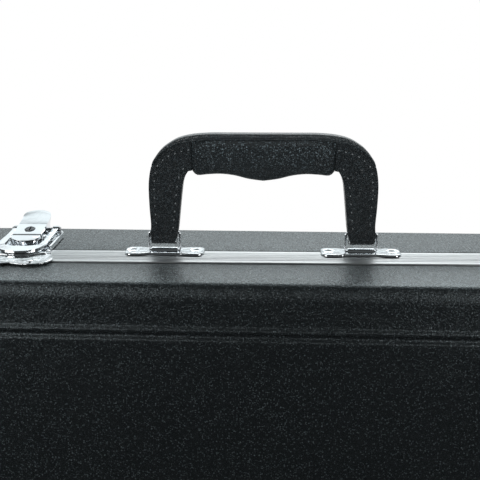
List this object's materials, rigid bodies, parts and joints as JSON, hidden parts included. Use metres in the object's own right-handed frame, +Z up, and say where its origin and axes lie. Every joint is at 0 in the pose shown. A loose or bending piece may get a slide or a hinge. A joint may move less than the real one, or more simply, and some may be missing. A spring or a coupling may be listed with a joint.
{
  "type": "trombone case",
  "caption": "Hard moulded trombone case with a belled end, aluminium valances, draw latches, a folding leather handle and a fitted interior.",
  "frame": {"origin": "under the middle of the case, on the floor that its feet stand on", "axes": "+X along the case towards the bell end, +Y from the lid towards the base, +Z up from the spine to the handle"},
  "size_m": [0.941, 0.2272, 0.3933],
  "materials": {
    "shell": "moulded ABS with a fine pebble grain",
    "valance": "satin, with fine lengthwise ribs",
    "chrome": "bright plated steel",
    "leather": "fine grain, stitched",
    "plush": "short pile plush over foam",
    "rubber": "matt",
    "steel": "bright drawn pin",
    "plastic": "moulded"
  },
  "bodies": {
    "base": {"base_shell": "shell", "base_valance": "valance", "base_insert": "plush", "mouthpiece_cup": "plastic", "base_foot_left": "rubber", "base_foot_right": "rubber", "handle_plate_left": "chrome", "handle_plate_right": "chrome", "hinge_1_base_leaf": "chrome", "hinge_2_base_leaf": "chrome", "hinge_3_base_leaf": "chrome", "hinge_1_pin": "steel", "hinge_2_pin": "steel", "hinge_3_pin": "steel", "latch_1_pan": "chrome", "latch_2_pan": "chrome", "latch_3_pan": "chrome", "latch_1_lever_pin": "steel", "latch_2_lever_pin": "steel", "latch_3_lever_pin": "steel"},
    "lid": {"lid_shell": "shell", "lid_valance": "valance", "lid_insert": "plush", "lid_foot_left": "rubber", "lid_foot_right": "rubber", "hinge_1_lid_leaf": "chrome", "hinge_2_lid_leaf": "chrome", "hinge_3_lid_leaf": "chrome", "latch_1_catch": "chrome", "latch_2_catch": "chrome", "latch_3_catch": "chrome", "slide_button_screw_1": "chrome", "slide_button_screw_2": "chrome"},
    "handle_loops": {"handle_loop_left": "chrome", "handle_loop_right": "chrome"},
    "handle": {"handle_strap": "leather", "handle_leg_left": "leather", "handle_leg_right": "leather", "handle_grip": "leather", "handle_clip_left": "chrome", "handle_clip_right": "chrome"},
    "compartment_cover": {"compartment_cover": "plush", "compartment_pull": "leather"},
    "slide_button_1": {"slide_button_1": "plastic"},
    "slide_button_2": {"slide_button_2": "plastic"},
    "latch_1_lever": {"latch_1_lever": "chrome", "latch_1_hasp_pin": "steel"},
    "latch_1_hasp": {"latch_1_hasp": "chrome"},
    "latch_1_lock_plug": {"latch_1_lock_plug": "chrome"},
    "latch_2_lever": {"latch_2_lever": "chrome", "latch_2_hasp_pin": "steel"},
    "latch_2_hasp": {"latch_2_hasp": "chrome"},
    "latch_2_lock_plug": {"latch_2_lock_plug": "chrome"},
    "latch_3_lever": {"latch_3_lever": "chrome", "latch_3_hasp_pin": "steel"},
    "latch_3_hasp": {"latch_3_hasp": "chrome"}
  },
  "joints": [
    {"name": "lid_hinge", "type": "hinge", "parent": "base", "child": "lid", "pos_m": [0, 0, 0.0043], "axis": [1, 0, 0], "range_deg": [0, 95]},
    {"name": "handle_loop_swing", "type": "hinge", "parent": "base", "child": "handle_loops", "pos_m": [0.0407, 0.00875, 0.314], "axis": [1, 0, 0], "range_deg": [-55, 55]},
    {"name": "handle_tilt", "type": "hinge", "parent": "handle_loops", "child": "handle", "pos_m": [0.0407, 0.00875, 0.3267], "axis": [1, 0, 0], "range_deg": [-18, 18]},
    {"name": "compartment_hinge", "type": "hinge", "parent": "base", "child": "compartment_cover", "pos_m": [-0.31, 0.003, 0.056], "axis": [1, 0, 0], "range_deg": [0, 80]},
    {"name": "slide_button_1_turn", "type": "hinge", "parent": "lid", "child": "slide_button_1", "pos_m": [-0.25, -0.0009, 0.246], "axis": [0, 1, 0], "range_deg": [0, 90]},
    {"name": "slide_button_2_turn", "type": "hinge", "parent": "lid", "child": "slide_button_2", "pos_m": [0.13, -0.0009, 0.246], "axis": [0, 1, 0], "range_deg": [0, 90]},
    {"name": "latch_1_lever_lift", "type": "hinge", "parent": "base", "child": "latch_1_lever", "pos_m": [-0.122, 0.0215, 0.3182], "axis": [1, 0, 0], "range_deg": [0, 82]},
    {"name": "latch_1_hasp_swing", "type": "hinge", "parent": "latch_1_lever", "child": "latch_1_hasp", "pos_m": [-0.122, 0.042, 0.3185], "axis": [1, 0, 0], "range_deg": [-106.6, 0]},
    {"name": "latch_1_lock_turn", "type": "hinge", "parent": "latch_1_lever", "child": "latch_1_lock_plug", "pos_m": [-0.122, 0.0268, 0.3228], "axis": [0, -0.2079, 0.9781], "range_deg": [0, 90]},
    {"name": "latch_2_lever_lift", "type": "hinge", "parent": "base", "child": "latch_2_lever", "pos_m": [0.222, 0.0215, 0.3182], "axis": [1, 0, 0], "range_deg": [0, 82]},
    {"name": "latch_2_hasp_swing", "type": "hinge", "parent": "latch_2_lever", "child": "latch_2_hasp", "pos_m": [0.222, 0.042, 0.3185], "axis": [1, 0, 0], "range_deg": [-106.6, 0]},
    {"name": "latch_2_lock_turn", "type": "hinge", "parent": "latch_2_lever", "child": "latch_2_lock_plug", "pos_m": [0.222, 0.0268, 0.3228], "axis": [0, -0.2079, 0.9781], "range_deg": [0, 90]},
    {"name": "latch_3_lever_lift", "type": "hinge", "parent": "base", "child": "latch_3_lever", "pos_m": [-0.36, 0.0215, 0.3182], "axis": [1, 0, 0], "range_deg": [0, 82]},
    {"name": "latch_3_hasp_swing", "type": "hinge", "parent": "latch_3_lever", "child": "latch_3_hasp", "pos_m": [-0.36, 0.042, 0.3185], "axis": [1, 0, 0], "range_deg": [-106.6, 0]}
  ],
  "couplings": [
    {"joint": "compartment_hinge", "follows": "lid_hinge", "ratio": 0.8},
    {"joint": "latch_1_hasp_swing", "follows": "latch_1_lever_lift", "ratio": -1.3},
    {"joint": "latch_2_hasp_swing", "follows": "latch_2_lever_lift", "ratio": -1.3},
    {"joint": "latch_3_hasp_swing", "follows": "latch_3_lever_lift", "ratio": -1.3}
  ]
}
